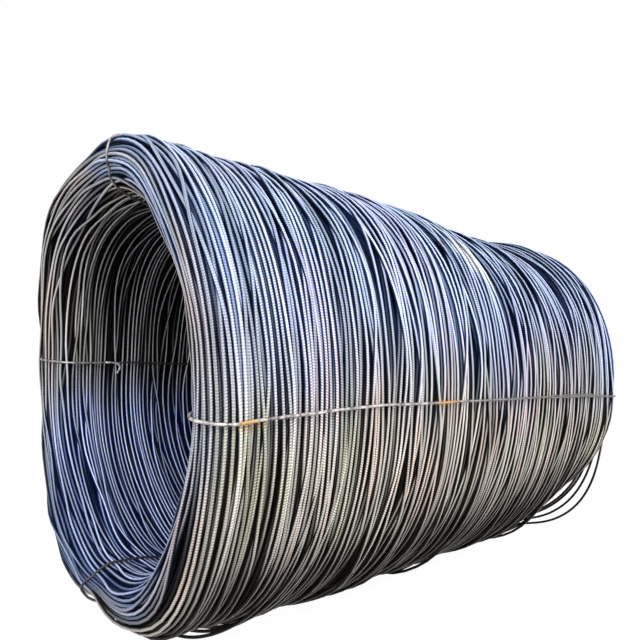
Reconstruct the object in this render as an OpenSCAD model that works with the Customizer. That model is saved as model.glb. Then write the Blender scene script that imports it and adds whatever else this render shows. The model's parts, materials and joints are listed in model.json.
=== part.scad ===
// Coil of ribbed wire rod, lying on its side and held by four wire ties.
// The eye of the coil runs along X, and the lowest turns lie on Z = 0.

/* [Coil] */
// Diameter over the outermost turns
coil_od = 1250; // [1150:5:1400]
// Thickness of the wall of turns, from the outside to the eye
wall = 125; // [105:1:180]
// Length over both ends
coil_length = 1700; // [1000:10:2200]
// Radius over which the outer turns fall away at each end
outer_lip = 45; // [30:1:65]
// Radius at the mouth of the eye
inner_lip = 30; // [20:1:35]

/* [Rod] */
// Diameter of the rod over its ribs
rod_d = 9; // [6:0.1:11]
// Mean gap between neighbouring turns on the surface
turn_gap = 8; // [1:0.1:12]

/* [Ties] */
// Diameter of the tie wire
tie_d = 6.5; // [5:0.5:8]
// Clearance between a tie and the turns that it holds
tie_gap = 0.3; // [0.1:0.1:1]
// Part of the tie wire that stands out of the turns into the eye
tie_stand = 1; // [0:0.1:2]
// Radius of a tie's bend at the mouth of the eye
tie_bend = 32; // [20:1:36]
// Place of the front tie around the coil, upwards from the front
tie_front_angle = -4; // [-20:1:20]
// Place of the top tie around the coil, upwards from the front
tie_top_angle = 87; // [70:1:110]
// Place of the back tie around the coil, upwards from the front
tie_back_angle = 170; // [160:1:200]
// Place of the bottom tie around the coil, upwards from the front
tie_bottom_angle = 258; // [240:1:258]

/* [Twist] */
// Length over which the two ends of a tie are twisted together
twist_length = 330; // [150:10:400]
// Distance from the middle of the twist to the right-hand end of the coil
twist_from_end = 370; // [340:10:450]
// Whole turns in the twist, to which half a turn is added
twist_turns = 2; // [1:1:3]
// Length over which a run of the tie goes into its strand of the twist
twist_join = 2; // [1:0.5:4]

/* [Hidden] */

coil_r = coil_od / 2;
eye_r = coil_r - wall;
end_x = coil_length / 2;

// The turns follow the end face, the outer lip and the outside, up to the middle of the coil
face_len = wall - outer_lip - inner_lip;
lip_len = outer_lip * PI / 2;
skin_len = face_len + lip_len + end_x - outer_lip;
skin_turns = round(skin_len / (rod_d + turn_gap));
turn_pitch = skin_len / skin_turns;
crest_w = rod_d * tan(22.5);
valley = rod_d / 2;
mouth_steps = 6;

// A tie lies just clear of the turns outside and at the ends, and sunk among them in the eye
tie_off = tie_gap + tie_d / 2;
tie_seat = 0.1;
tie_outer_r = coil_r + tie_off + tie_seat;
tie_inner_r = eye_r - tie_stand + tie_d / 2;
tie_end_x = end_x + tie_off + tie_seat;
lip_bend = outer_lip + tie_off + tie_seat;
bed_d = tie_d + 2 * tie_gap;

strand_spacing = tie_d + tie_gap;
twist_mid = end_x - twist_from_end;
strand_sides = 8;
slices_per_turn = 10;

// A point of the section, given its way along the skin from the mouth and its depth below it
function lip_point(angle, depth) =
    [coil_r - outer_lip + (outer_lip - depth) * sin(angle),
     end_x - outer_lip + (outer_lip - depth) * cos(angle)];
function skin_point(way, depth) =
    way < face_len ? [eye_r + inner_lip + way, end_x - depth]
    : way < face_len + lip_len ? lip_point((way - face_len) / lip_len * 90, depth)
    : [coil_r - depth, end_x - outer_lip - (way - face_len - lip_len)];

// The plain mouth of the eye, then the turns, one crest each
mouth_half = [for (i = [0 : mouth_steps])
    let (a = 90 * i / mouth_steps)
        [eye_r + inner_lip * (1 - cos(a)), end_x - inner_lip * (1 - sin(a))]];
turns_half = [for (i = [0 : skin_turns - 1])
    let (middle = (i + 0.5) * turn_pitch)
        each [skin_point(middle - turn_pitch / 2, valley),
              skin_point(middle - crest_w / 2, 0),
              skin_point(middle + crest_w / 2, 0)]];
half = concat(mouth_half, turns_half);
count = len(half);
other_half = [for (i = [count - 1 : -1 : 0]) [half[i][0], -half[i][1]]];
middle_valley = [skin_point(skin_len, valley)];

// Turns a shape made around Z so that its axis lies along X, at the height of the eye
module lay_down() {
    translate([0, 0, coil_r])
        rotate([0, 90, 0])
            children();
}

// Puts a shape made above the axis at its place around the coil, upwards from the front
module around(angle) {
    translate([0, 0, coil_r])
        rotate([90 - angle, 0, 0])
            children();
}

// A straight run of wire along X
module run(from_x, to_x, r, d) {
    translate([from_x, 0, r])
        rotate([0, 90, 0])
            cylinder(d = d, h = to_x - from_x, $fn = 24);
}

// A quarter bend of wire about a line across the wall
module bend(x, r, radius, start, d) {
    translate([x, 0, r])
        rotate([90, 0, 0])
            rotate_extrude(angle = 90, start = start, $fn = 64)
                translate([radius, 0])
                    circle(d = d, $fn = 24);
}

// The part of a tie that lies in the eye and turns out of its mouths
module eye_run(d) {
    run(tie_bend - tie_end_x, tie_end_x - tie_bend, tie_inner_r, d);
    bend(tie_end_x - tie_bend, tie_inner_r + tie_bend, tie_bend, -90, d);
    bend(tie_bend - tie_end_x, tie_inner_r + tie_bend, tie_bend, 180, d);
}

// A tie's run up the end face and round the outer lip, at the right-hand end
module end_run() {
    low = tie_inner_r + tie_bend;
    high = coil_r - outer_lip;
    translate([tie_end_x, 0, low])
        cylinder(d = tie_d, h = high - low, $fn = 24);
    bend(end_x - outer_lip, high, lip_bend, 0, tie_d);
}

// The two ends of a tie, twisted round each other just above the line of its outer run
module twist() {
    turns = twist_turns + 0.5;
    translate([twist_mid - twist_length / 2, 0, tie_outer_r + strand_spacing / 2])
        rotate([0, 90, 0])
            linear_extrude(height = twist_length, twist = 360 * turns, slices = slices_per_turn * turns)
                for (side = [-1, 1])
                    translate([side * strand_spacing / 2, 0])
                        circle(d = tie_d, $fn = strand_sides);
}

module tie(angle) {
    color("dimgray")
        around(angle) {
            eye_run(tie_d);
            end_run();
            mirror([1, 0, 0])
                end_run();
            run(outer_lip - end_x, twist_mid - twist_length / 2 + twist_join, tie_outer_r, tie_d);
            run(twist_mid + twist_length / 2 - twist_join, end_x - outer_lip, tie_outer_r, tie_d);
            twist();
        }
}

module coil() {
    color("lightsteelblue")
        difference() {
            lay_down()
                rotate_extrude($fn = 96)
                    polygon(concat(half, middle_valley, other_half));
            for (angle = [tie_front_angle, tie_top_angle, tie_back_angle, tie_bottom_angle])
                around(angle)
                    eye_run(bed_d);
        }
}

coil();
tie(tie_front_angle);  // tie_front
tie(tie_top_angle);  // tie_top
tie(tie_back_angle);  // tie_back
tie(tie_bottom_angle);  // tie_bottom
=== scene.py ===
import json
import math
from types import SimpleNamespace

import bpy
import numpy as np
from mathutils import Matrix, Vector


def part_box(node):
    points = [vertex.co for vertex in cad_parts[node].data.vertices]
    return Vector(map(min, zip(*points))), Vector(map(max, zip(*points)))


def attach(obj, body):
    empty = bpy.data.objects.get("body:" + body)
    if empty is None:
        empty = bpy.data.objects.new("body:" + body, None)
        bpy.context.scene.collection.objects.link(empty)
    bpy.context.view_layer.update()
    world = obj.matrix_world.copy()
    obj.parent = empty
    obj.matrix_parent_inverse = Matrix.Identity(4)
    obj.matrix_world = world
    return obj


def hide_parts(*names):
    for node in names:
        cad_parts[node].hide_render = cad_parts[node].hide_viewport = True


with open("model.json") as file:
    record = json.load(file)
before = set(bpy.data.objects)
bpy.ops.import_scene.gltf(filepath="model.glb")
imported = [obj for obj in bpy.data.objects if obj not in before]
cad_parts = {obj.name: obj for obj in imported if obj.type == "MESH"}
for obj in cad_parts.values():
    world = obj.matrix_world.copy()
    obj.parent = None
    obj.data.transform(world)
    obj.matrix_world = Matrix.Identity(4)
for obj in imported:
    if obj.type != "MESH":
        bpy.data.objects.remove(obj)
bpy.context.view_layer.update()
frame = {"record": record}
coilLow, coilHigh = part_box("coil")
eyeRadius = frame["record"]["mounts"][0]["dims"]["r_mm"] / 1000
coilRadius = (coilHigh[2] - coilLow[2]) / 2
halfLength = (coilHigh[0] - coilLow[0]) / 2
axisHeight = coilLow[2] + coilRadius
print("frame loaded, coil radius", round(coilRadius, 3), "eye radius", round(eyeRadius, 3))


# shader helper: a socket with arithmetic, or an empty one that adds the first nodes of a tree

class Sock:
    def __init__(self, tree, socket=None):
        self.tree = tree
        self.socket = socket

    def add(self, kind, settings=None, sockets=None, out=0):
        node = self.tree.nodes.new(kind)
        for key, value in (settings or {}).items():
            if key == "stops":
                ramp = node.color_ramp
                while len(ramp.elements) < len(value):
                    ramp.elements.new(0.5)
                for element, (place, colour) in zip(ramp.elements, value):
                    element.position = place
                    element.color = (*colour, 1)
            else:
                setattr(node, key, value)
        for key, value in (sockets or {}).items():
            if isinstance(value, Sock):
                self.tree.links.new(value.socket, node.inputs[key])
            else:
                node.inputs[key].default_value = value
        return Sock(self.tree, node.outputs[out]) if node.outputs else None

    def maths(self, operation, *values):
        return self.add("ShaderNodeMath", {"operation": operation}, dict(enumerate(values)))

    def __add__(self, other):
        return self.maths("ADD", self, other)

    def __radd__(self, other):
        return self.maths("ADD", other, self)

    def __sub__(self, other):
        return self.maths("SUBTRACT", self, other)

    def __rsub__(self, other):
        return self.maths("SUBTRACT", other, self)

    def __mul__(self, other):
        return self.maths("MULTIPLY", self, other)

    def __rmul__(self, other):
        return self.maths("MULTIPLY", other, self)

    def sin(self):
        return self.maths("SINE", self)

    def size(self):
        return self.maths("ABSOLUTE", self)

    def larger(self, other):
        return self.maths("MAXIMUM", self, other)

    def arctan2(self, other):
        return self.maths("ARCTAN2", self, other)

    def ease(self, low, high):
        sockets = {"Value": self, "From Min": low, "From Max": high}
        return self.add("ShaderNodeMapRange", {"interpolation_type": "SMOOTHSTEP"}, sockets)

    def noise(self, scale, detail, rough=0.5):
        sockets = {"Vector": self, "Scale": scale, "Detail": detail, "Roughness": rough}
        return self.add("ShaderNodeTexNoise", None, sockets)

    def stretch(self, scale):
        return self.add("ShaderNodeMapping", None, {"Vector": self, "Scale": scale})

    def part(self, axis):
        return self.add("ShaderNodeSeparateXYZ", None, {0: self}, "XYZ".index(axis))

    def mark(self, name, out="Fac"):
        return self.add("ShaderNodeAttribute", {"attribute_name": name}, None, out)

    def blend(self, amount, first, second, mode="MIX"):
        a, b = [(*colour, 1) if isinstance(colour, tuple) else colour for colour in (first, second)]
        settings = {"data_type": "RGBA", "blend_type": mode}
        return self.add("ShaderNodeMix", settings, {0: amount, 6: a, 7: b}, 2)


def newMaterial(name):
    material = bpy.data.materials.new(name)
    material.use_nodes = True
    material.node_tree.nodes.clear()
    return material, Sock(material.node_tree)


def finishMaterial(net, colour, roughness, metallic, normal=None, gloss=0.5):
    sockets = {
        "Base Color": colour,
        "Roughness": roughness,
        "Metallic": metallic,
        "Specular IOR Level": gloss,
    }
    if normal is not None:
        sockets["Normal"] = normal
    shader = net.add("ShaderNodeBsdfPrincipled", None, sockets)
    net.add("ShaderNodeOutputMaterial", None, {"Surface": shader})


# rod steel: painted blue sky reflection on turns that face up, painted warm ground reflection on those that
# face down, ribs along every turn

rodFinish = {
    # each colour is for the lit strip of a turn, "Mid" for its flanks and "Deep" for between turns; the lit
    # strip is a painted highlight, the flanks and the depth painted shade
    # painted blue sky reflection, on turns that face up
    "skyReflection": (0.53, 0.63, 0.84),
    "skyReflectionMid": (0.20, 0.265, 0.465),
    "skyReflectionDeep": (0.012, 0.026, 0.075),
    "lilac": (0.55, 0.545, 0.775),
    "teal": (0.47, 0.62, 0.735),
    # painted warm ground reflection, on turns that face down
    "groundReflection": (0.66, 0.62, 0.575),
    "groundReflectionMid": (0.265, 0.245, 0.222),
    "groundReflectionDeep": (0.018, 0.015, 0.012),
    "pink": (0.76, 0.60, 0.53),
    "olive": (0.63, 0.65, 0.47),
    # painted shade on the underside
    "under": (0.24, 0.23, 0.224),
    "underMid": (0.030, 0.029, 0.029),
    # in the eye: painted shade on the roof and a painted blue sky reflection on the floor
    "eyeRoof": (0.68, 0.68, 0.69),
    "eyeRoofMid": (0.085, 0.085, 0.09),
    "eyeRoofDeep": (0.005, 0.005, 0.006),
    "eyeFloor": (0.58, 0.66, 0.98),
    "eyeFloorMid": (0.095, 0.135, 0.33),
    "eyeFloorDeep": (0.003, 0.008, 0.042),
    "wash": (0.92, 0.92, 0.88),
    "rust": (0.55, 0.33, 0.10),
    # patches: how far up a wall faces where the painted ground reflection gives way to the painted sky
    # reflection, and where it falls into painted shade
    "patchScale": 2.2,
    "patchSpread": 0.8,
    "skyReflectionLine": (-0.22, 0.36),
    "underLine": (-0.36, -0.74),
    "underSpread": 0.5,
    "underRise": 0.12,   # the shade reaches higher at the far end
    "outsideLine": (0.3, 0.0),
    # tints: noise with a share of each turn's own tone, and the values that give each tint
    "tintScale": 7.0,
    "tintStretch": (1.0, 0.5, 0.5),
    "turnTint": 0.2,
    "lowTint": (0.48, 0.34),
    "pinkTint": (0.52, 0.66),
    "lilacTint": (0.50, 0.66),
    "lilacLine": (0.65, 0.05),   # and more lilac where a wall faces less far up
    "tintShares": {"olive": 0.75, "pink": 0.8, "teal": 0.7, "lilac": 0.7, "lilacLow": 0.5},
    "streakScale": 26.0,
    "streakStretch": (1.0, 0.35, 0.35),
    # a pale washed patch: place along the coil, degrees up from the front, and its shape
    "washAt": (0.02, 38.0),
    "washDegrees": 57.3,   # in a radian
    "washLean": 0.006,
    "washAcross": 16.0,
    "washDown": 0.006,
    "washClears": 0.65,
    "rustSpots": ((-0.795, -7.2), (-0.755, -6.4), (-0.22, -4.4)),
    "rustAcross": 32.0,
    "rustDown": 42.0,
    "rustShare": 0.6,
    # painted shade: darkening of turns that lie under others, and of a turn's flanks
    "sunkLine": (0.08, 2.1),
    "sunkInEye": (1.3, 0.9),   # at its roof, and less at its floor
    "sunkUnder": 0.5,
    "flank": 0.95,
    "flankLine": 0.2,
    "flankInEye": 0.5,
    "flankUnder": 0.58,
    # brightness: the least, and what the tone of a turn, the streaks and the ribs add; the ribs' share is a
    # painted highlight on their crests
    "toneLevel": (0.72, 0.78),
    "streakLevel": (0.66, 0.68),
    "ribLevel": (0.56, 0.62),
    "eyeLight": (1.7, 0.6, 0.25),   # towards the far mouth, less of it on the floor, and on the floor
    # painted shade on the end faces of the coil
    "endShade": 0.28,
    "ribsPerTurn": 660.0,
    "ribLean": 1.6,
    "ribShift": 40.0,
    "ribHeight": 0.0009,
    "roughness": 0.46,
    "streakRough": 0.25,
    "sunkRough": 0.3,
    "metallic": 0.35,
    "gloss": 0.07,
}


def rodSockets(net):
    # what the finish depends on: the place, the marks of a turn and the patches
    f = rodFinish
    s = SimpleNamespace()
    s.place = net.add("ShaderNodeTexCoord", None, None, "Object")
    s.along = s.place.part("X")
    s.around = (s.place.part("Z") - axisHeight).arctan2(s.place.part("Y") * -1.0)
    s.wallUp = net.mark("wallUp")
    s.inEye = net.mark("inEye")
    s.tone = net.mark("tone")
    s.buried = net.mark("buried")
    s.outward = net.mark("outward", "Vector")
    side = net.mark("rodSide", "Vector")
    s.rodAngle = side.part("Y").arctan2(side.part("X"))
    normal = net.add("ShaderNodeNewGeometry", None, None, "Normal")
    pair = {0: normal, 1: s.outward}
    s.facing = net.add("ShaderNodeVectorMath", {"operation": "DOT_PRODUCT"}, pair, "Value")
    patches = s.place.noise(f["patchScale"], 3.0) - 0.5
    s.streaks = s.place.stretch(f["streakStretch"]).noise(f["streakScale"], 3.0)
    # share of the painted sky reflection over the painted ground reflection
    s.upness = (s.wallUp + patches * f["patchSpread"]).ease(*f["skyReflectionLine"])
    # painted shade on the underside, reaching higher at the far end
    low = s.wallUp + patches * f["underSpread"] - s.along.ease(-0.3, 0.7) * f["underRise"]
    s.low = low.ease(*f["underLine"]) * s.inEye.ease(*f["outsideLine"])
    return s


def rodRelief(s):
    # two rows of slanting ribs with a plain strip between them
    f = rodFinish
    ribs = s.around * f["ribsPerTurn"] + s.rodAngle.size() * f["ribLean"] + s.tone * f["ribShift"]
    rows = s.rodAngle.sin().size().ease(0.1, 0.45)
    return ribs.sin().ease(-0.2, 0.8) * rows


def rodShades(net, s):
    # painted light and shade: the lit strip, the flanks and the depth, each outside and in the eye, over the
    # painted sky and ground reflection
    f = rodFinish
    share = f["tintShares"]
    hue = s.place.stretch(f["tintStretch"]).noise(f["tintScale"], 2.0) + (s.tone - 0.5) * f["turnTint"]
    lowTint = hue.ease(*f["lowTint"])
    groundReflection = net.blend(lowTint * share["olive"], f["groundReflection"], f["olive"])
    groundReflection = net.blend(hue.ease(*f["pinkTint"]) * share["pink"], groundReflection, f["pink"])
    groundReflection = net.blend(s.low, groundReflection, f["under"])
    groundReflectionMid = net.blend(s.low, f["groundReflectionMid"], f["underMid"])
    lilac = hue.ease(*f["lilacTint"]) * share["lilac"] + s.wallUp.ease(*f["lilacLine"]) * share["lilacLow"]
    # the painted sky reflection, with teal and lilac tints
    skyReflection = net.blend(lowTint * share["teal"], f["skyReflection"], f["teal"])
    skyReflection = net.blend(lilac, skyReflection, f["lilac"])
    shades = []
    depths = (
        (groundReflection, skyReflection, ""),
        (groundReflectionMid, f["skyReflectionMid"], "Mid"),
        (f["groundReflectionDeep"], f["skyReflectionDeep"], "Deep"),
    )
    for below, above, kind in depths:
        outside = net.blend(s.upness, below, above)
        inside = net.blend(s.upness, f["eyeRoof" + kind], f["eyeFloor" + kind])
        shades.append(net.blend(s.inEye, outside, inside))
    return shades


def rodWash(s):
    f = rodFinish
    x, degrees = f["washAt"]
    slant = (s.around - math.radians(degrees)) * f["washDegrees"]
    across = (s.along - x + slant * f["washLean"]) * f["washAcross"]
    spot = (across * across + slant * slant * f["washDown"]).ease(1.1, 0.1)
    return spot * s.streaks.ease(0.26, 0.48) * (1 - s.inEye)


def rodRust(s):
    f = rodFinish
    rust = 0.0
    for x, degrees in f["rustSpots"]:
        across = (s.along - x) * f["rustAcross"]
        down = (s.around - math.radians(degrees)) * f["rustDown"]
        rust = rust + (across * across + down * down).ease(1.0, 0.0)
    return rust * s.streaks.ease(0.35, 0.6) * (1 - s.inEye) * f["rustShare"]


def rodLevel(s, relief):
    f = rodFinish
    level = 1.0
    for amount, key in ((s.tone, "toneLevel"), (s.streaks, "streakLevel"), (relief, "ribLevel")):
        least, more = f[key]
        level = level * (least + amount * more)
    farMouth, floorLess, floor = f["eyeLight"]
    light = s.along.ease(-0.6, 0.4) * (farMouth - s.upness * floorLess) + s.upness * floor
    return level * (1 + s.inEye * light) * (1 - s.outward.part("X").size() * f["endShade"])


def rodMaterial():
    f = rodFinish
    material, net = newMaterial("rodSteel")
    s = rodSockets(net)
    relief = rodRelief(s)
    shown, mid, deep = rodShades(net, s)
    washed = rodWash(s)
    shown = net.blend(washed, shown, f["wash"])
    # painted shade on turns under others and on the flanks of each turn, leaving a painted highlight on its
    # crown
    roofSunk, floorSunk = f["sunkInEye"]
    sunk = s.buried * (1 + s.inEye * (roofSunk - s.upness * floorSunk) + s.low * f["sunkUnder"])
    sunk = sunk.ease(*f["sunkLine"])
    flank = 1 - s.facing.ease(f["flankLine"] + s.inEye * f["flankInEye"] + s.low * f["flankUnder"], 1.0)
    shade = (1 - (1 - sunk) * (1 - flank * f["flank"])) * (1 - washed * f["washClears"])
    colour = net.blend(shade.ease(0.05, 0.6), shown, mid)
    colour = net.blend(shade.ease(0.4, 1.0), colour, deep)
    colour = net.blend(rodRust(s) * (1 - sunk), colour, f["rust"])
    level = rodLevel(s, relief)
    grey = net.add("ShaderNodeCombineColor", None, {0: level, 1: level, 2: level})
    colour = net.blend(1.0, colour, grey, "MULTIPLY")
    roughness = f["roughness"] + (s.streaks - 0.5) * f["streakRough"] + sunk * f["sunkRough"]
    bump = net.add("ShaderNodeBump", None, {"Strength": 0.8, "Distance": f["ribHeight"], "Height": relief})
    finishMaterial(net, colour, roughness, f["metallic"], bump, f["gloss"])
    return material


# tie wire: dark drawn wire, pale with wear, and painted lighter near the front and higher up, with a few
# orange stains on the front one

tieFinish = {
    "wire": (0.115, 0.108, 0.108),
    "wornAndLit": (0.60, 0.565, 0.555),
    "stain": (0.52, 0.29, 0.060),
    "dark": (0.02, 0.02, 0.023),
    "wearScale": 60.0,
    "wearHeight": 0.0004,
    "wornAll": 0.12,   # share of wear all along, and what the near half adds
    "paintedLightNear": 0.88,
    "stainScale": 150.0,
    "stainSpread": 2.4,
    "stainShare": 0.9,
    "stainRough": 0.3,
    "roughness": 0.45,
    "metallic": 0.6,
}


def tieMaterial():
    f = tieFinish
    material, net = newMaterial("tieWire")
    place = net.add("ShaderNodeTexCoord", None, None, "Object")
    stain = net.mark("stain")
    wear = place.noise(f["wearScale"], 4.0, 0.6)
    # wear, with painted light on the near half and on the higher parts of the wire
    near = f["wornAll"] + place.part("X").ease(0.12, -0.55) * f["paintedLightNear"]
    pale = wear.ease(0.35, 0.63) * near * place.part("Z").ease(0.1, 0.5)
    colour = net.blend(pale, f["wire"], f["wornAndLit"])
    # painted shade on the wire in the eye and under the coil
    colour = net.blend(net.mark("dull"), colour, f["dark"])
    patch = stain + (place.noise(f["stainScale"], 4.0, 0.7) - 0.5) * f["stainSpread"]
    patch = patch.ease(0.25, 0.95) * stain.ease(0.0, 0.5) * f["stainShare"]
    colour = net.blend(patch, colour, f["stain"])
    roughness = f["roughness"] + patch * f["stainRough"]
    bump = net.add("ShaderNodeBump", None, {"Strength": 0.4, "Distance": f["wearHeight"], "Height": wear})
    finishMaterial(net, colour, roughness, (1 - patch) * f["metallic"], bump)
    return material


# rod sweep: paths of edges become round rod

def rodSweepTree():
    tree = bpy.data.node_groups.new("rodSweep", "GeometryNodeTree")
    face = tree.interface
    face.new_socket("Paths", in_out="INPUT", socket_type="NodeSocketGeometry")
    face.new_socket("Rod Radius", in_out="INPUT", socket_type="NodeSocketFloat")
    face.new_socket("Sides", in_out="INPUT", socket_type="NodeSocketInt")
    face.new_socket("Steel", in_out="INPUT", socket_type="NodeSocketMaterial")
    face.new_socket("Rods", in_out="OUTPUT", socket_type="NodeSocketGeometry")

    def node(kind, **settings):
        made = tree.nodes.new(kind)
        for key, value in settings.items():
            setattr(made, key, value)
        return made

    start = node("NodeGroupInput")
    end = node("NodeGroupOutput")
    curve = node("GeometryNodeMeshToCurve")
    circle = node("GeometryNodeCurvePrimitiveCircle", mode="RADIUS")
    place = node("GeometryNodeInputPosition")
    unit = node("ShaderNodeVectorMath", operation="NORMALIZE")
    store = node("GeometryNodeStoreNamedAttribute", data_type="FLOAT_VECTOR", domain="POINT")
    store.inputs["Name"].default_value = "rodSide"
    sweep = node("GeometryNodeCurveToMesh")
    sweep.inputs["Fill Caps"].default_value = True
    smoothed = node("GeometryNodeSetShadeSmooth")
    real = node("GeometryNodeRealizeInstances")
    steel = node("GeometryNodeSetMaterial")
    for a, b in (
        (start.outputs["Paths"], curve.inputs[0]),
        (start.outputs["Rod Radius"], circle.inputs["Radius"]),
        (start.outputs["Sides"], circle.inputs["Resolution"]),
        (circle.outputs[0], store.inputs["Geometry"]),
        (place.outputs[0], unit.inputs[0]),
        (unit.outputs[0], store.inputs["Value"]),
        (curve.outputs[0], sweep.inputs["Curve"]),
        (store.outputs[0], sweep.inputs["Profile Curve"]),
        (sweep.outputs[0], smoothed.inputs["Geometry"]),
        (smoothed.outputs[0], real.inputs[0]),
        (real.outputs[0], steel.inputs["Geometry"]),
        (start.outputs["Steel"], steel.inputs["Material"]),
        (steel.outputs[0], end.inputs[0]),
    ):
        tree.links.new(a, b)
    return tree


sweepTree = rodSweepTree()


def sweepRods(name, paths, closed, marks, radius, sides, material):
    # paths: (count, points, 3); marks: attribute name to (count, points) or (count, points, 3)
    count, points = paths.shape[:2]
    index = np.arange(count * points).reshape(count, points)
    edges = np.stack([index, np.roll(index, -1, axis=1)], -1)
    if not closed:
        edges = edges[:, :-1]
    edges = edges.reshape(-1, 2)
    mesh = bpy.data.meshes.new(name + "Paths")
    mesh.vertices.add(count * points)
    mesh.vertices.foreach_set("co", paths.astype(np.float32).ravel())
    mesh.edges.add(len(edges))
    mesh.edges.foreach_set("vertices", edges.astype(np.int32).ravel())
    for key, values in marks.items():
        kind, field = ("FLOAT_VECTOR", "vector") if values.ndim == 3 else ("FLOAT", "value")
        mesh.attributes.new(key, kind, "POINT").data.foreach_set(field, values.astype(np.float32).ravel())
    mesh.update()
    obj = bpy.data.objects.new(name, mesh)
    bpy.context.scene.collection.objects.link(obj)
    modifier = obj.modifiers.new("rodSweep", "NODES")
    modifier.node_group = sweepTree
    wanted = {"Rod Radius": radius, "Sides": sides, "Steel": material}
    for item in sweepTree.interface.items_tree:
        if item.item_type == "SOCKET" and item.name in wanted:
            modifier[item.identifier] = wanted[item.name]
    swept = bpy.data.meshes.new_from_object(obj.evaluated_get(bpy.context.evaluated_depsgraph_get()))
    obj.modifiers.remove(modifier)
    obj.data = swept
    swept.name = name
    bpy.data.meshes.remove(mesh)
    print(name, "rods", count, "triangles", sum(len(p.vertices) - 2 for p in swept.polygons))
    return obj


# the wall's section: an outline that every turn follows

wall = {"outerLip": 0.042, "innerLip": 0.075, "step": 0.001}


def wallOutline():
    ro, ri, h = coilRadius, eyeRadius, halfLength
    lo, li = wall["outerLip"], wall["innerLip"]
    rows = []   # radius, place along the coil, and the outward direction in both

    def line(a, b, normal):
        n = max(2, int(math.dist(a, b) / wall["step"]))
        for t in np.arange(n) / n:
            rows.append((a[0] + (b[0] - a[0]) * t, a[1] + (b[1] - a[1]) * t, *normal))

    def arc(centre, radius, start):
        n = max(2, int(radius * math.pi / 2 / wall["step"]))
        for t in start + np.arange(n) / n * math.pi / 2:
            nr, nx = math.cos(t), math.sin(t)
            rows.append((centre[0] + radius * nr, centre[1] + radius * nx, nr, nx))

    line((ro, lo - h), (ro, h - lo), (1, 0))
    arc((ro - lo, h - lo), lo, 0)
    line((ro - lo, h), (ri + li, h), (0, 1))
    arc((ri + li, h - li), li, math.pi / 2)
    line((ri, h - li), (ri, li - h), (-1, 0))
    arc((ri + li, li - h), li, math.pi)
    line((ri + li, -h), (ro - lo, -h), (0, -1))
    arc((ro - lo, lo - h), lo, math.pi * 1.5)
    table = np.array(rows)
    gaps = np.linalg.norm(np.diff(table[:, :2], axis=0, append=table[:1, :2]), axis=1)
    way = np.concatenate([[0], np.cumsum(gaps)])
    return way, np.vstack([table, table[:1]])


outlineWay, outlineTable = wallOutline()
perimeter = outlineWay[-1]
outerMiddle = halfLength - wall["outerLip"]   # way to the middle of the outside, which starts the outline
outerEnd = 2 * outerMiddle
eyeStart = outlineWay[np.argmax(outlineTable[:, 2] < -0.999)]
eyeEnd = eyeStart + 2 * (halfLength - wall["innerLip"])


def onOutline(way):
    way = np.mod(way, perimeter)
    return [np.interp(way, outlineWay, outlineTable[:, k]) for k in range(4)]


# the ties pull the wall in, and it bulges between them

tieAngles = {"tie_front": -4.0, "tie_top": 87.0, "tie_back": 170.0, "tie_bottom": 258.0}
bulge = {
    "between": (0.001, 0.026, -0.018, 0.013),   # past the front, top, back and bottom ties
    "pull": (-0.023, -0.022, -0.040, -0.002),   # at each of them
}

# dents: how far in, at how many degrees up from the front, half of how wide, and from where to where along
dents = (
    # slack place low at the far end
    {"depth": 0.066, "at": -52.0, "half": 42.0, "from": 0.46, "to": 0.85},
    # near end, lifted off the floor, and its eye with it, but less at the bottom tie
    {"depth": 0.084, "at": -94.0, "half": 45.0, "from": -0.58, "to": -0.85},
    {"depth": 0.022, "at": -80.0, "half": 40.0, "from": -0.58, "to": -0.85, "whole": 1.0},
    {"depth": -0.026, "at": -97.0, "half": 16.0, "from": -0.55, "to": -0.85},
    # mouth flared at the top
    {"depth": -0.030, "at": 83.0, "half": 52.0, "from": -0.48, "to": -0.85, "eye": 1.0},
    # last turns riding up on top, the near end settled by the top tie, and last turns riding up behind
    {"depth": -0.012, "at": 70.0, "half": 48.0, "from": -0.50, "to": -0.62},
    {"depth": 0.013, "at": 76.0, "half": 55.0, "from": -0.15, "to": -0.55},
    {"depth": -0.020, "at": 125.0, "half": 50.0, "from": -0.60, "to": -0.85},
    # settled past the middle of the top, and up again at the far end
    {"depth": 0.026, "at": 66.0, "half": 55.0, "from": -0.15, "to": 0.35},
    {"depth": -0.028, "at": 58.0, "half": 55.0, "from": 0.40, "to": 0.80},
    # near end, high in front
    {"depth": 0.027, "at": 40.0, "half": 52.0, "from": -0.42, "to": -0.85, "whole": 1.0},
)

# where the near end is not flat: how far the last turns stand back or forward
setBacks = (
    {"depth": 0.028, "at": 190.0, "half": 75.0, "from": -0.45, "to": -0.85},   # behind
    {"depth": -0.009, "at": -26.0, "half": 24.0, "from": -0.55, "to": -0.85},   # forward below the front tie
    {"depth": -0.012, "at": 45.0, "half": 36.0, "from": -0.55, "to": -0.85},   # forward above it
    {"depth": -0.024, "at": -60.0, "half": 44.0, "from": -0.50, "to": -0.85},   # and well below it
)
floorRest = {"lowest": 0.007, "softness": 0.006, "reach": 0.037}   # turns that would sink lie on the floor


def smooth(t):
    t = np.clip(t, 0, 1)
    return t * t * (3 - 2 * t)


def softened(values, axis=-1):
    return (np.roll(values, 1, axis) + 2 * values + np.roll(values, -1, axis)) / 4


def dentWeight(dent, x, angle):
    turn = np.mod(np.degrees(angle) - dent["at"] + 180, 360) - 180
    along = smooth((x - dent["from"]) / (dent["to"] - dent["from"]))
    return dent["depth"] * along * smooth(1 - np.abs(turn) / dent["half"])


tieStops = sorted(tieAngles.values())
tieStops = tieStops + [tieStops[0] + 360]


def pastFirstTie(angle):
    return np.mod(np.degrees(angle) - tieStops[0], 360) + tieStops[0]


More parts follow.
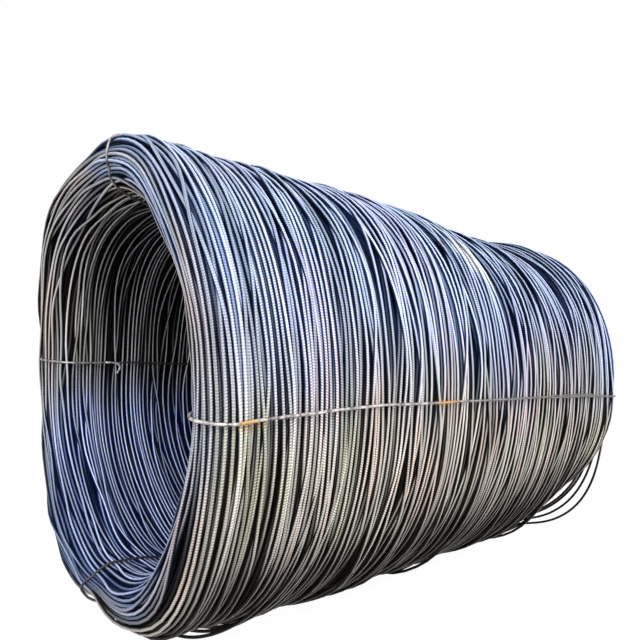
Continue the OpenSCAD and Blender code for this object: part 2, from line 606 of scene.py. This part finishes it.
def spanWaves(angle):
    # one hump between each tie and the next, and nothing at the ties
    turn = pastFirstTie(angle)
    spans = zip(tieStops, tieStops[1:])
    return [np.sin(np.clip((turn - a) / (b - a), 0, 1) * math.pi) ** 2 for a, b in spans]


def bulgeAt(angle):
    pull = np.interp(pastFirstTie(angle), tieStops, bulge["pull"] + bulge["pull"][:1])
    return pull + sum((lift - pull) * wave for lift, wave in zip(bulge["between"], spanWaves(angle)))


def dentAt(x, r, angle):
    # most dents press the outside in and leave the eye as it is
    outside = smooth((r - eyeRadius) / (coilRadius - eyeRadius))
    total = 0.0
    for dent in dents:
        share = 1 - outside if "eye" in dent else np.maximum(outside, dent.get("whole", 0.0))
        total = total + dentWeight(dent, x, angle) * share
    return -total


def toSpace(way, height, angle):
    # way round the section, height above it and angle up from the front
    r, x, nr, nx = onOutline(way)
    r = r + nr * height + bulgeAt(angle) + dentAt(x, r, angle)
    x = x + nx * height + sum(dentWeight(part, x, angle) for part in setBacks)
    return inSpace(x, r, angle)


def inSpace(x, r, angle):
    y = -r * np.cos(angle)
    z = axisHeight + r * np.sin(angle)
    low, soft = floorRest["lowest"], floorRest["softness"]
    rested = low + soft * np.log1p(np.exp(np.clip((z - low) / soft, -40, 40)))
    return np.stack([x, y, np.where(z < floorRest["reach"], rested, z)], -1)


# laying: turns are laid one by one on those already there

laying = {
    "seed": 3,
    "angles": 90,
    "rodRadius": 0.0043,
    "layers": (
        {"pitch": 0.0120, "spread": 0.8, "sway": 1.2, "slack": 0.0, "sides": 5, "outsideOnly": True},
        {"pitch": 0.0125, "spread": 0.8, "sway": 1.2, "slack": 0.004, "sides": 6, "outsideOnly": False},
        {"pitch": 0.0158, "spread": 0.7, "sway": 1.6, "slack": 0.010, "sides": 8, "outsideOnly": False},
    ),
    "pastOutside": 0.35,   # how far the deepest layer goes on round the lips
    "cell": 0.0015,
    "depth": 0.030,
    "drop": 0.0015,   # how steeply a turn comes down past one that it crosses
    "bandStep": 0.30,   # neighbours lean together in bands
    "bandSway": (0.013, 0.008, 0.003),
    "ownSway": (0.0042, 0.0034, 0.0022),
    "strayShare": 0.12,
    "straySway": 2.6,
    "nearCalm": 0.25,
    "thinning": 0.20,
    "lipCrowd": 0.18,
    "eyeThinning": 1.05,
    "settle": 40,
    "clearance": 1.03,
    "push": 0.5,
    "draw": 0.45,
    "evening": 0.03,
    "widest": 1.6,   # widest gap, in pitches
    "slackShare": 0.55,
    "slackRest": 0.15,
    "spanSlack": (1.0, 1.0, 1.0, 0.6),   # past the front, top, back and bottom ties
    "shuffle": 0.002,
    "surface": 65,   # share of the turns, in percent, that lie below the nominal surface
    "swell": 0.006,
    "coverReach": 0.013,
}


def pushApart(ways, widest, first, last):
    # close turns push each other aside, and wide gaps draw in
    f = laying
    room = 2 * f["rodRadius"] * f["clearance"]
    shift = np.zeros_like(ways)
    columns = np.arange(ways.shape[1])
    for _ in range(f["settle"]):
        order = np.argsort(ways + shift, axis=0)
        lined = np.take_along_axis(ways + shift, order, 0)
        # the last turn lies next to the first
        gaps = np.diff(lined, axis=0, append=lined[:1] + last - first)
        wide = np.clip(gaps - widest[np.roll(order, -1, 0)], 0, None)
        push = np.clip(room - gaps, 0, None) * f["push"] - wide * f["draw"]
        evened = (gaps - np.roll(gaps, 1, 0)) * 0.5 * f["evening"]
        shift[order, columns] += np.roll(push, 1, 0) - push + evened
        shift = softened(shift, 1)
    return ways + shift


def planTurns(plan, waves, dice):
    # neighbours lean together, and each turn sways a little
    f = laying
    past = f["pastOutside"]
    first, last = (-past, outerEnd + past) if plan["outsideOnly"] else (0, perimeter)
    # turns lie closer at the near end than at the far one, and wider in the eye
    grid = np.linspace(first, last, 2000)
    _, x, nr, _ = onOutline(grid)
    crowd = 1 + f["thinning"] * x / halfLength - f["lipCrowd"] * smooth((-x - 0.5) / 0.25)
    pitch = plan["pitch"] * crowd * np.where(nr < -0.5, f["eyeThinning"], 1)
    passed = np.concatenate([[0], np.cumsum(np.diff(grid) / pitch[1:])])
    count = int(passed[-1])
    places = np.arange(count) + 0.5 + dice.uniform(-0.5, 0.5, count) * plan["spread"]
    starts = np.interp(places * passed[-1] / count, passed, grid)
    knots = np.linspace(0, perimeter, int(perimeter / f["bandStep"]) + 1)
    band = dice.normal(size=(len(waves), len(knots))) * np.repeat(f["bandSway"], 2)[:, None]
    band[:, -1] = band[:, 0]
    lean = np.stack([np.interp(starts % perimeter, knots, row) for row in band], -1)
    own = dice.normal(size=(count, len(waves))) * np.repeat(f["ownSway"], 2) * plan["sway"]
    own[dice.random(count) < f["strayShare"]] *= f["straySway"]
    own *= 1 - f["nearCalm"] * smooth((-onOutline(starts)[1][:, None] - 0.3) / 0.4)
    ways = starts[:, None] + (lean + own) @ waves
    ways = pushApart(ways, f["widest"] * np.interp(starts, grid, pitch), first, last)
    return starts, softened(softened(ways, 1), 1)


def planSlack(plan, starts, spans, dice):
    # slack turns stand off the rest between the ties, most at the far end, and are laid last
    f = laying
    slack = dice.uniform(0, plan["slack"], (len(starts), len(spans)))
    slack[dice.random(slack.shape) > f["slackShare"]] *= f["slackRest"]
    slack *= np.clip(0.75 + 0.75 * onOutline(starts)[1][:, None] / halfLength, 0.15, 2)
    order = np.argsort((slack @ spans).max(1) + dice.uniform(0, f["shuffle"], len(starts)))
    return order, slack * f["spanSlack"] @ spans


def layTurns():
    f = laying
    dice = np.random.default_rng(f["seed"])
    n, rod = f["angles"], f["rodRadius"]
    angle = np.arange(n) / n * 2 * math.pi
    cells = int(perimeter / f["cell"])
    cell = perimeter / cells
    heap = np.full((n, cells), -f["depth"])
    reach = int(rod / cell)
    offsets = np.arange(-reach, reach + 1)
    cap = np.sqrt(rod ** 2 - (offsets * cell) ** 2)
    waves = np.stack([fn(k * angle) for k in (1, 2, 3) for fn in (np.cos, np.sin)])
    spans = np.array(spanWaves(angle))
    rows = np.arange(n)[:, None]
    laid = []
    for layer, plan in enumerate(f["layers"]):
        starts, ways = planTurns(plan, waves, dice)
        order, slack = planSlack(plan, starts, spans, dice)
        for i in order:
            at = np.mod((ways[i] / cell).astype(int)[:, None] + offsets, cells)
            need = (heap[rows, at] + cap).max(1)
            lift = need.copy()
            for k in range(1, 7):
                beside = np.maximum(np.roll(need, k), np.roll(need, -k))
                lift = np.maximum(lift, beside - f["drop"] * k * k)
            for _ in range(3):
                lift = softened(lift)
            lift = lift + slack[i]
            heap[rows, at] = np.maximum(heap[rows, at], lift[:, None] + cap)
            turn = {"layer": layer, "start": starts[i] % perimeter, "way": ways[i], "lift": lift}
            turn["tone"] = dice.random()
            laid.append(turn)
    level = np.percentile(heap[:, : int(outerEnd / cell)], f["surface"]) - f["swell"]
    print("laid", len(laid), "turns, level", round(level, 4))
    return angle, laid, heap - level, level, cell


angle, laid, heap, level, cell = layTurns()
cellWay = np.arange(heap.shape[1]) * cell


def highestNearby(window):
    out = heap.copy()
    for k in range(1, int(window / cell) + 1):
        out = np.maximum(out, np.maximum(np.roll(heap, k, 1), np.roll(heap, -k, 1)))
    return out


roof = highestNearby(laying["coverReach"])

marking = {   # how the rims and the mouths of the eye take the painted light, shade and reflection of the rod
    "mouth": (0.66, 0.18),   # where a mouth begins along the coil, and over what length
    "mouthOpens": (0.35, 0.7),   # painted light: how much it lightens the floor of the eye, and its roof
    "lowRimShade": 0.6,
    # how far the low rims and the top rim move towards the painted sky reflection
    "lowRimTurn": 0.5,
    "lowRimBlue": 0.45,
    "topRimBlue": 0.9,
    "greyRim": (-0.04, 0.15),   # the rim behind, above the back tie: its share of the painted sky reflection, and its painted shade
}


def turnMarks(way, lift, tone):
    f = marking
    rod = laying["rodRadius"]
    _, x, nr, nx = onOutline(way)
    end = np.abs(nx)
    up = np.sin(angle)
    ahead = np.cos(angle)
    # painted shade: how far a turn lies under the turns near it
    over = roof[np.arange(len(angle)), np.mod((way / cell).astype(int), roof.shape[1])]
    buried = np.clip((over - lift - rod) / (2 * rod), 0, 3)
    for k in (1, 2, 2, 3):
        buried = (np.roll(buried, k, 1) + buried + np.roll(buried, -k, 1)) / 3
    # how far up a wall faces, which sets its painted sky or ground reflection
    wallUp = nr * up * (1 - f["lowRimTurn"] * end * (up < 0))
    wallUp = wallUp - f["lowRimBlue"] * end * np.minimum(up, 0) * smooth(0.3 - 1.5 * ahead)
    wallUp = wallUp + f["topRimBlue"] * end * smooth((up - 0.3) / 0.5) * (nr < 0)
    grey = smooth(end * 2.5) * smooth(0.6 - 2 * ahead) * smooth(0.2 + 4 * up) * (x < 0)
    greyUp, greyShade = f["greyRim"]
    begin, length = f["mouth"]
    floorOpens, roofOpens = f["mouthOpens"]
    # painted light in the eye near its mouths
    opened = np.maximum(floorOpens, roofOpens + np.minimum(up, 0)) * smooth((np.abs(x) - begin) / length)
    return {
        "outward": np.stack([nx, -nr * ahead, nr * up], -1),
        "wallUp": wallUp * (1 - grey) + greyUp * grey,
        "inEye": np.clip(-nr * 1.8 - 0.4, 0, 1) * (1 - opened),
        "tone": np.repeat(tone[:, None], len(angle), 1),
        # with painted shade on the low rims and on the rim behind
        "buried": buried + f["lowRimShade"] * end * smooth((-up - 0.05) / 0.6) + greyShade * grey,
    }


def makeTurns(name, chosen, steel):
    way = np.array([turn["way"] for turn in chosen])
    lift = np.array([turn["lift"] for turn in chosen]) - level
    tone = np.array([turn["tone"] for turn in chosen])
    sides = laying["layers"][chosen[0]["layer"]]["sides"]
    paths = toSpace(way, lift, np.broadcast_to(angle, way.shape))
    obj = sweepRods(name, paths, True, turnMarks(way, lift, tone), laying["rodRadius"], sides, steel)
    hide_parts("coil")
    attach(obj, "root")
    return obj


rodSteel = rodMaterial()


def pieceOf(turn):
    # one piece for the deepest layer, and for each other layer one in the eye and two outside
    if turn["layer"] == 0:
        return "deep_turns"
    top = turn["layer"] == 2
    start = turn["start"]
    if (eyeStart + outerEnd) / 2 <= start < eyeEnd:
        return "eye_turns" if top else "eye_turns_under"
    half = "right" if outerEnd / 2 <= start < eyeEnd else "left"
    return ("outer_turns_" if top else "under_turns_") + half


pieces = {}
for turn in laid:
    pieces.setdefault(pieceOf(turn), []).append(turn)
for name, chosen in pieces.items():
    makeTurns(name, chosen, rodSteel)


# loose turns: slack strands that stand off the coil low down at both ends

loose = {
    "points": 64,
    "smoothing": 10,
    "sides": 8,
    "tone": (0.25, 0.2),   # of the first strand of an end, and what each next one adds
    "lowest": -0.6,   # they don't fall into the shade of the underside
    # painted shade on every strand
    "buried": 0.3,
    "far": {
        "angles": (-128, -104, -84, -66, -55, -45, -35, -25, -15, 0, 20, 45),
        "x": (0.60, 0.63, 0.67, 0.74, 0.79, 0.825, 0.845, 0.85, 0.845, 0.835, 0.825, 0.81),
        "lifts": (
            (-0.030, -0.030, -0.030, -0.022, 0.027, 0.032, 0.010, -0.014, -0.020, -0.022, -0.024, -0.026),
            (-0.030, -0.030, -0.032, -0.036, 0.000, 0.002, -0.015, -0.030, -0.032, -0.030, -0.028, -0.028),
            (-0.030, -0.030, -0.034, -0.042, -0.022, -0.021, -0.029, -0.042, -0.040, -0.034, -0.030, -0.030),
            (-0.030, -0.030, -0.036, -0.046, -0.028, -0.027, -0.035, -0.048, -0.044, -0.036, -0.032, -0.030),
        ),
        "step": -0.012,   # from one strand to the next along the coil
    },
    "near": {
        "angles": (-120, -100, -86, -74, -64, -52, -40, -26, -10, 10),
        "x": (-0.80, -0.775, -0.75, -0.72, -0.69, -0.655, -0.63, -0.61, -0.60, -0.60),
        "lifts": (
            (-0.014, 0.002, 0.010, 0.018, 0.020, 0.016, 0.008, 0.003, 0.000, -0.014),
            (-0.014, 0.000, 0.008, 0.012, 0.016, 0.014, 0.008, 0.003, 0.000, -0.014),
            (-0.014, 0.000, 0.008, 0.014, 0.013, 0.009, 0.005, 0.003, 0.000, -0.014),
        ),
        "step": 0.034,
    },
}


def makeLoose(steel):
    paths, tones, turns = [], [], []
    for run in (loose["far"], loose["near"]):
        for i, lifts in enumerate(run["lifts"]):
            t = np.linspace(0, len(lifts) - 1, loose["points"])
            stops = np.arange(len(lifts))
            turn, x, lift = [np.interp(t, stops, v) for v in (np.radians(run["angles"]), run["x"], lifts)]
            for _ in range(loose["smoothing"]):
                for v in (turn, x, lift):
                    v[1:-1] = (v[:-2] + 2 * v[1:-1] + v[2:]) / 4
            paths.append(inSpace(x + i * run["step"], coilRadius + bulgeAt(turn) + lift, turn))
            tones.append(loose["tone"][0] + loose["tone"][1] * i)
            turns.append(turn)
    turns = np.array(turns)
    flat = np.zeros(turns.shape)
    marks = {
        "outward": np.stack([flat, -np.cos(turns), np.sin(turns)], -1),
        "wallUp": np.maximum(np.sin(turns), loose["lowest"]),
        "inEye": flat,
        "tone": flat + np.array(tones)[:, None],
        "buried": flat + loose["buried"],
    }
    obj = sweepRods("loose_turns", np.array(paths), False, marks, laying["rodRadius"], loose["sides"], steel)
    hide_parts("coil")
    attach(obj, "root")
    return obj


makeLoose(rodSteel)


# packed core: a near-black sheet under the turns, painted shade for the depth between them

core = {
    "ways": 120,
    "rings": 72,
    # near-black, painted shade
    "stops": [(0.3, (0.006, 0.006, 0.009)), (0.7, (0.03, 0.03, 0.038))],
    "grainScale": 40.0,
    "roughness": 0.8,
    "gloss": 0.1,
}


def coreMaterial():
    material, net = newMaterial("packedTurns")
    grain = net.add("ShaderNodeTexCoord", None, None, "Object").noise(core["grainScale"], 3.0)
    shade = net.add("ShaderNodeValToRGB", {"stops": core["stops"]}, {"Fac": grain})
    finishMaterial(net, shade, core["roughness"], 0.0, None, core["gloss"])
    return material


def makeCore():
    ways = np.linspace(0, perimeter, core["ways"], endpoint=False)
    around = np.arange(core["rings"]) / core["rings"] * 2 * math.pi
    way, turn = np.meshgrid(ways, around, indexing="ij")
    points = toSpace(way, np.full(way.shape, -laying["depth"] - level), turn)
    mesh = bpy.data.meshes.new("packed_core")
    a = np.arange(way.size).reshape(way.shape)
    b = np.roll(a, -1, 0)
    c = np.roll(b, -1, 1)
    d = np.roll(a, -1, 1)
    faces = np.stack([a, b, c, d], -1).reshape(-1, 4)
    mesh.from_pydata(points.reshape(-1, 3).tolist(), [], faces.tolist())
    mesh.polygons.foreach_set("use_smooth", [True] * len(mesh.polygons))
    mesh.materials.append(coreMaterial())
    mesh.update()
    obj = bpy.data.objects.new("packed_core", mesh)
    bpy.context.scene.collection.objects.link(obj)
    print("packed_core faces", len(faces))
    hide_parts("coil")
    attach(obj, "root")
    return obj


makeCore()


# tie wires: taut over the turns, with twisted ends

tie = {
    "radius": 0.00325,
    "sides": 10,
    "step": 0.012,
    "fineStep": 0.006,   # near the twist
    "fineRun": 0.36,
    "twistFrom": 0.315,
    "twistTo": 0.645,
    "twistTurns": 2.5,
    "twistGap": 1.02,
    "bridge": 0.040,   # how far the wire spans gaps on a straight run, and how it sags there
    "sag": 0.000004,
    "hug": 0.005,   # the same on the lips, where it bites in between the turns
    "bite": 0.002,
    "stand": {"tie_front": 0.005, "tie_bottom": 0.006},   # how far a tie stands off the lips
    "lean": {   # places along the coil, and degrees off the tie's own angle
        "tie_front": (
            (-0.85, -0.83, -0.80, -0.775, -0.72, -0.63, -0.45, 0.1, 0.4, 0.55, 0.72, 0.85),
            (-2.5, -2.5, -2.1, -1.8, -1.4, -0.9, -0.05, 0.4, 0.7, 0.9, 0.3, 0.1),
        ),
        "tie_top": ((-0.85, -0.82, -0.70, 0.85), (-9.0, -6.0, -1.0, 0.0)),
        "tie_back": ((-0.85, -0.6, 0.85), (0.8, 0.0, 0.0)),
        "tie_bottom": ((-0.85, -0.65, -0.4, 0.0, 0.85), (10.0, 11.5, 10.0, 6.0, -1.0)),
    },
    "stains": {"tie_front": ((-0.825, -0.775), (-0.28, -0.15))},
    # painted shade on the wire
    "dull": {   # places along the coil, and how dark the wire is there, but not on the outside
        "tie_front": ((-1.0, 1.0), (0.0, 0.0)),
        "tie_top": ((-1.0, 1.0), (0.55, 0.55)),
        "tie_back": ((-0.66, -0.60), (0.3, 0.9)),
        "tie_bottom": ((-1.0, 1.0), (0.8, 0.8)),
    },
    "spareEnd": {   # a short end that hangs from the back tie, in the eye
        "node": "tie_back",
        "x": (-0.680, -0.655, -0.638, -0.632, -0.634, -0.640),
        "degrees": (170.0, 170.0, 170.5, 171.8, 173.2, 174.6),
        "off": (0.0, 0.004, 0.008, 0.009, 0.008, 0.004),
    },
}
tieWire = tieMaterial()


def tieBed(node, degrees):
    # a taut wire bridges the gaps on the straight runs and hugs the lips
    _, x, nr, _ = onOutline(cellWay)
    row = np.rint((degrees + np.interp(x, *tie["lean"][node])) / 360 * len(angle)).astype(int)
    top = np.max([heap[(row + k) % len(angle), np.arange(len(row))] for k in (-1, 0, 1)], axis=0)
    straight = (np.abs(nr) > 0.97).astype(float)
    wide = top.copy()
    tight = top.copy()
    for k in range(1, int(tie["bridge"] / cell)):
        beside = np.maximum(np.roll(top, k), np.roll(top, -k))
        wide = np.maximum(wide, beside - tie["sag"] * k * k)
        if k * cell < tie["hug"]:
            tight = np.maximum(tight, beside)
    runs = [wide, tight, straight]
    for _ in range(4):
        runs = [(np.roll(v, 6) + np.roll(v, -6) + 2 * v) / 4 for v in runs]
    wide, tight, straight = runs
    return wide * straight + (tight - tie["bite"] + tie["stand"].get(node, 0.0)) * (1 - straight)


def twistOffsets(x):
    # each end winds round the other, half a turn out of step
    first = x < perimeter / 2
    along = np.where(first, x - tie["twistFrom"], x - perimeter - tie["twistFrom"])
    along = along / (tie["twistTo"] - tie["twistFrom"])
    inside = (along >= 0) & (along <= 1)
    phase = along * tie["twistTurns"] * 2 * math.pi
    gap = tie["radius"] * tie["twistGap"]
    sign = np.where(first, 1.0, -1.0)
    raised = np.where(inside, gap + sign * gap * np.cos(phase), 0)
    sideways = np.where(inside, sign * gap * np.sin(phase), 0)
    return raised, sideways


def spareEnd(bed, count):
    spare = tie["spareEnd"]
    stops = np.arange(len(spare["x"]))
    t = np.linspace(0, stops[-1], count)
    x, degrees, off = [np.interp(t, stops, spare[key]) for key in ("x", "degrees", "off")]
    way = eyeStart + halfLength - wall["innerLip"] - x
    height = np.interp(way, cellWay, bed) + tie["radius"] + off
    return toSpace(way, height, np.radians(degrees))


def makeTie(node, degrees):
    bed = tieBed(node, degrees)
    begin = tie["twistFrom"] + halfLength - wall["outerLip"]
    finish = tie["twistTo"] + halfLength - wall["outerLip"] + perimeter
    fine = tie["fineRun"]
    way = np.concatenate([
        np.arange(begin, begin + fine, tie["fineStep"]),
        np.arange(begin + fine, finish - fine, tie["step"]),
        np.arange(finish - fine, finish, tie["fineStep"]),
    ])
    raised, sideways = twistOffsets(way - outerMiddle)
    lift = np.interp(np.mod(way, perimeter), cellWay, bed) + tie["radius"] + raised
    r, along, nr, _ = onOutline(way)
    theta = math.radians(degrees) + sideways / r + np.radians(np.interp(along, *tie["lean"][node]))
    paths = toSpace(way, lift, theta)[None]
    x = paths[0, :, 0]
    stain = np.zeros(len(way))
    for a, b in tie["stains"].get(node, ()):
        spot = np.clip(1.3 - np.abs(x - (a + b) / 2) / ((b - a) / 2), 0, 1)
        stain = np.maximum(stain, spot * (nr > 0.5))
    dull = np.interp(x, *tie["dull"][node]) * (nr < 0.5)
    marks = {"stain": stain[None], "dull": dull[None]}
    if node == tie["spareEnd"]["node"]:
        paths = np.concatenate([paths, spareEnd(bed, len(way))[None]])
        marks = {key: np.vstack([values, values * 0]) for key, values in marks.items()}
    obj = sweepRods("wire_" + node, paths, False, marks, tie["radius"], tie["sides"], tieWire)
    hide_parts(node)
    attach(obj, "root")
    return obj


for node, degrees in tieAngles.items():
    makeTie(node, degrees)


# stage: pale floor, soft lamps and the camera

stage = {
    "floorSize": 30.0,
    "floor": 0.45,
    "floorGlow": 1.38,
    "glowShare": 0.7,
    "seenBy": ("Is Camera Ray", "Is Glossy Ray", "Is Transmission Ray"),
    "world": 0.55,
    "lamps": {
        "key": {"place": (-2.6, -3.4, 3.4), "size": 2.2, "power": 240.0},
        "fill": {"place": (2.4, -3.2, 1.2), "size": 2.5, "power": 50.0},
        "mouth": {"place": (-3.4, -0.3, 0.9), "size": 1.2, "power": 37.0},
    },
    "cameraPlace": (-halfLength - 0.517, -1.451, axisHeight + 0.002),
    "cameraYaw": 0.7218,
    "sensor": 36.0,
    "imageWidth": 640,   # the picture, its focal length and the camera's shift, in pixels
    "focalPixels": 560.8,
    "shiftPixels": 64.5,
}


def seenDirectly(net):
    # rays that see the white of the background
    seen = [net.add("ShaderNodeLightPath", None, None, ray) for ray in stage["seenBy"]]
    return seen[0].larger(seen[1]).larger(seen[2])


def makeFloor():
    s = stage["floorSize"]
    mesh = bpy.data.meshes.new("floor")
    mesh.from_pydata([(-s, -s, 0), (s, -s, 0), (s, s, 0), (-s, s, 0)], [], [(0, 1, 2, 3)])
    floor = bpy.data.objects.new("floor", mesh)
    bpy.context.scene.collection.objects.link(floor)
    material, net = newMaterial("paleFloor")
    matt = net.add("ShaderNodeBsdfDiffuse", None, {"Color": (stage["floor"],) * 3 + (1,)})
    glow = net.add("ShaderNodeEmission", None, {"Color": (1, 1, 1, 1), "Strength": stage["floorGlow"]})
    share = seenDirectly(net) * stage["glowShare"]
    mixed = net.add("ShaderNodeMixShader", None, {0: share, 1: matt, 2: glow})
    net.add("ShaderNodeOutputMaterial", None, {"Surface": mixed})
    mesh.materials.append(material)


def makeWorld():
    world = bpy.data.worlds.new("studio")
    bpy.context.scene.world = world
    world.use_nodes = True
    world.node_tree.nodes.clear()
    sky = Sock(world.node_tree)
    strength = stage["world"] + seenDirectly(sky) * (1 - stage["world"])
    backdrop = sky.add("ShaderNodeBackground", None, {"Color": (1, 1, 1, 1), "Strength": strength})
    sky.add("ShaderNodeOutputWorld", None, {"Surface": backdrop})


def makeLamps():
    for name, plan in stage["lamps"].items():
        lamp = bpy.data.lights.new(name, "AREA")
        lamp.size = plan["size"]
        lamp.energy = plan["power"]
        obj = bpy.data.objects.new(name, lamp)
        bpy.context.scene.collection.objects.link(obj)
        obj.location = plan["place"]
        towards = Vector((0, 0, axisHeight)) - Vector(plan["place"])
        obj.rotation_euler = towards.to_track_quat("-Z", "Y").to_euler()


def makeCamera():
    lens = bpy.data.cameras.new("camera")
    lens.sensor_width = stage["sensor"]
    lens.lens = stage["sensor"] * stage["focalPixels"] / stage["imageWidth"]
    lens.shift_y = stage["shiftPixels"] / stage["imageWidth"]
    camera = bpy.data.objects.new("camera", lens)
    bpy.context.scene.collection.objects.link(camera)
    camera.location = stage["cameraPlace"]
    camera.rotation_euler = (math.pi / 2, 0, -stage["cameraYaw"])
    bpy.context.scene.camera = camera
    bpy.context.scene.view_settings.view_transform = "Standard"


makeFloor()
makeWorld()
makeLamps()
makeCamera()
print("scene done")
